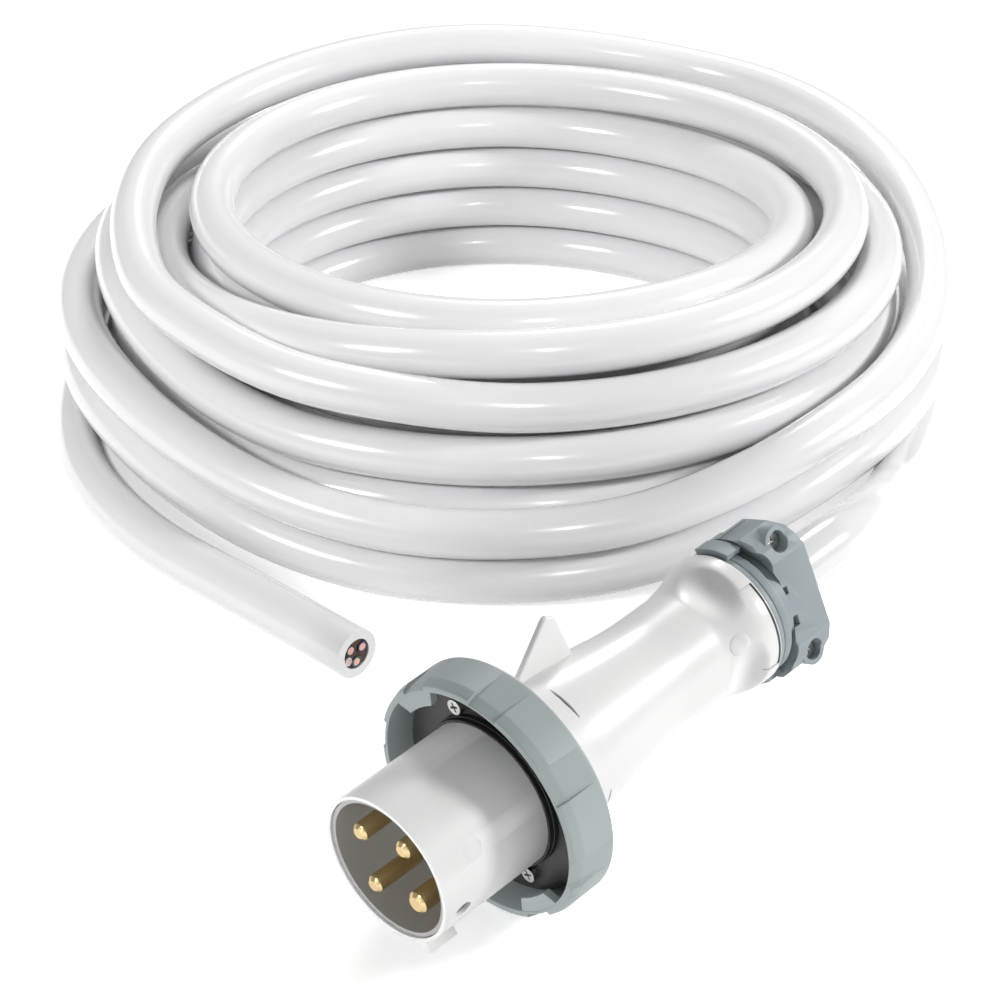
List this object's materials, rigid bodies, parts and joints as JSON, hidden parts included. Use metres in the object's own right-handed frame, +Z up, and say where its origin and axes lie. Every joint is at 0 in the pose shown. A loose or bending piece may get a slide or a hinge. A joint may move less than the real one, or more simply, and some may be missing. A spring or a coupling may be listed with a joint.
{
  "type": "shore power cord",
  "caption": "White heavy-duty shore power cord in a coil, with a locking pin-and-sleeve plug, a grey locking ring and a grey cord clamp; the other end is cut bare.",
  "frame": {"origin": "under the middle of the plug on the surface it lies on: centre of the plug's footprint, at the height of its lowest point", "axes": "+Y along the plug from its pins to its cable end, +Z up, +X to the right seen from behind the cable end; the coil lies at -X and +Y"},
  "size_m": [0.6354, 0.6575, 0.1424],
  "materials": {
    "jacket_white": "gloss",
    "plug_white": "satin",
    "ring_grey": "satin",
    "clamp_grey": "satin",
    "carrier_grey": "matte",
    "plate_black": "matte",
    "gasket_black": "matte",
    "brass": "polished",
    "steel": "bright",
    "copper": "bright",
    "core_black": "satin",
    "core_blue": "satin",
    "core_white": "satin",
    "core_green": "satin",
    "filler_brown": "matte"
  },
  "bodies": {
    "cord": {"sleeve_housing": "plug_white", "contact_carrier": "carrier_grey", "line_pin_1": "brass", "line_pin_2": "brass", "line_pin_3": "brass", "earth_pin": "brass", "pin_retainer": "plate_black", "terminal_screws": "steel", "front_plate": "plate_black", "face_gasket": "gasket_black", "assembly_screws": "steel", "body_shell": "plug_white", "gland_bushing": "gasket_black", "thrust_washer": "steel", "clamp_collar": "clamp_grey", "clamp_jaw_near": "clamp_grey", "clamp_jaw_far": "clamp_grey", "clamp_screws": "steel", "clamp_nuts": "steel", "cable_tail": "jacket_white", "core_line_1": "core_black", "core_line_2": "core_blue", "core_line_3": "core_green", "core_earth": "core_white", "core_ends": "copper", "plug_lead": "jacket_white", "cord_coil": "jacket_white", "end_lead": "jacket_white", "end_jacket": "jacket_white", "end_insulation_1": "core_blue", "end_insulation_2": "core_black", "end_insulation_3": "core_green", "end_insulation_4": "core_white", "end_copper": "copper", "end_filler": "filler_brown"},
    "ring": {"locking_ring": "ring_grey"}
  },
  "joints": [
    {"name": "ring_turn", "type": "hinge", "parent": "cord", "child": "ring", "pos_m": [0, -0.05128, 0.0584], "axis": [0, 0.9925, 0.1219], "range_deg": [0, 45]}
  ]
}
